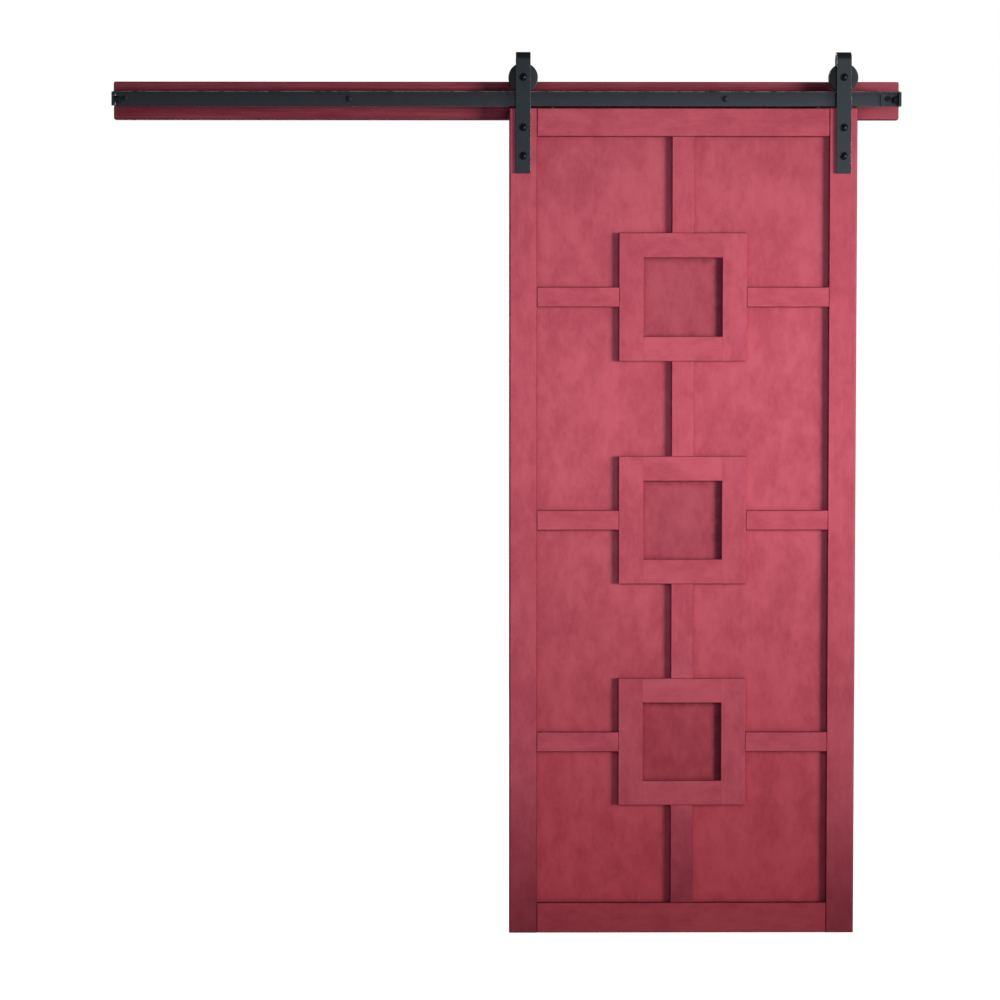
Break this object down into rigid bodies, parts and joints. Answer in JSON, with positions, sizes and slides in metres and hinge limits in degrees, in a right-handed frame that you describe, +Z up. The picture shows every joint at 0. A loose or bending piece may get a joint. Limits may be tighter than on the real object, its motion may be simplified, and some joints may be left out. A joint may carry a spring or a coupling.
{
  "type": "sliding barn door",
  "caption": "Sliding barn door: red-stained wooden leaf with square frames and battens, hung from strap hangers whose wheels roll on a flat steel rail with a header board.",
  "frame": {"origin": "centre of the header board's back face, which lies on the wall", "axes": "+X along the rail to the right as seen from the room, +Y into the wall, +Z up"},
  "size_m": [2.032, 0.137, 2.2788],
  "materials": {
    "panel_stain": "matt red stain on a flat panel",
    "board_stain": "matt red stain, fine grain along each board",
    "header_stain": "matt red stain, fine grain along the board",
    "rail_steel": "satin black powder coat",
    "hanger_steel": "satin black powder coat",
    "black_fasteners": "semi-gloss black",
    "wheel_steel": "satin black",
    "bearing_steel": "ground steel",
    "bumper_rubber": "matt black rubber"
  },
  "bodies": {
    "track": {"header_board": "header_stain", "track_rail": "rail_steel", "rail_spacers": "hanger_steel", "lag_bolts": "black_fasteners", "lag_washers": "black_fasteners", "left_stop_bracket": "hanger_steel", "right_stop_bracket": "hanger_steel", "left_stop_bumper": "bumper_rubber", "right_stop_bumper": "bumper_rubber", "bumper_screws": "black_fasteners"},
    "door": {"core_panel": "panel_stain", "left_stile": "board_stain", "right_stile": "board_stain", "top_rail": "board_stain", "bottom_rail": "board_stain", "square_1_left": "board_stain", "square_1_right": "board_stain", "square_1_top": "board_stain", "square_1_bottom": "board_stain", "square_2_left": "board_stain", "square_2_right": "board_stain", "square_2_top": "board_stain", "square_2_bottom": "board_stain", "square_3_left": "board_stain", "square_3_right": "board_stain", "square_3_top": "board_stain", "square_3_bottom": "board_stain", "upright_batten_1": "board_stain", "upright_batten_2": "board_stain", "upright_batten_3": "board_stain", "upright_batten_4": "board_stain", "cross_batten_1_left": "board_stain", "cross_batten_1_right": "board_stain", "cross_batten_2_left": "board_stain", "cross_batten_2_right": "board_stain", "cross_batten_3_left": "board_stain", "cross_batten_3_right": "board_stain", "left_hanger_strap": "hanger_steel", "right_hanger_strap": "hanger_steel", "axle_bolts": "black_fasteners", "axle_nuts": "black_fasteners", "axle_washers": "black_fasteners", "axle_sleeves": "black_fasteners", "bearing_inner_rings": "bearing_steel", "hanger_bolts": "black_fasteners", "hanger_nuts": "black_fasteners", "hanger_washers": "black_fasteners", "anti_jump_discs": "hanger_steel", "anti_jump_screws": "black_fasteners"},
    "left_wheel": {"left_wheel": "wheel_steel", "left_bearing_outer_ring": "bearing_steel", "left_bearing_balls": "bearing_steel"},
    "right_wheel": {"right_wheel": "wheel_steel", "right_bearing_outer_ring": "bearing_steel", "right_bearing_balls": "bearing_steel"}
  },
  "joints": [
    {"name": "leaf_slide", "type": "slide", "parent": "track", "child": "door", "axis": [1, 0, 0], "range_m": [-1.0147, 0.1067]},
    {"name": "left_wheel_spin", "type": "hinge", "parent": "door", "child": "left_wheel", "pos_m": [0.042, -0.06, 0.0538], "axis": [0, 1, 0], "continuous": true},
    {"name": "right_wheel_spin", "type": "hinge", "parent": "door", "child": "right_wheel", "pos_m": [0.866, -0.06, 0.0538], "axis": [0, 1, 0], "continuous": true}
  ],
  "couplings": [
    {"joint": "left_wheel_spin", "follows": "leaf_slide", "rad_per_m": 29.851},
    {"joint": "right_wheel_spin", "follows": "leaf_slide", "rad_per_m": 29.851}
  ]
}
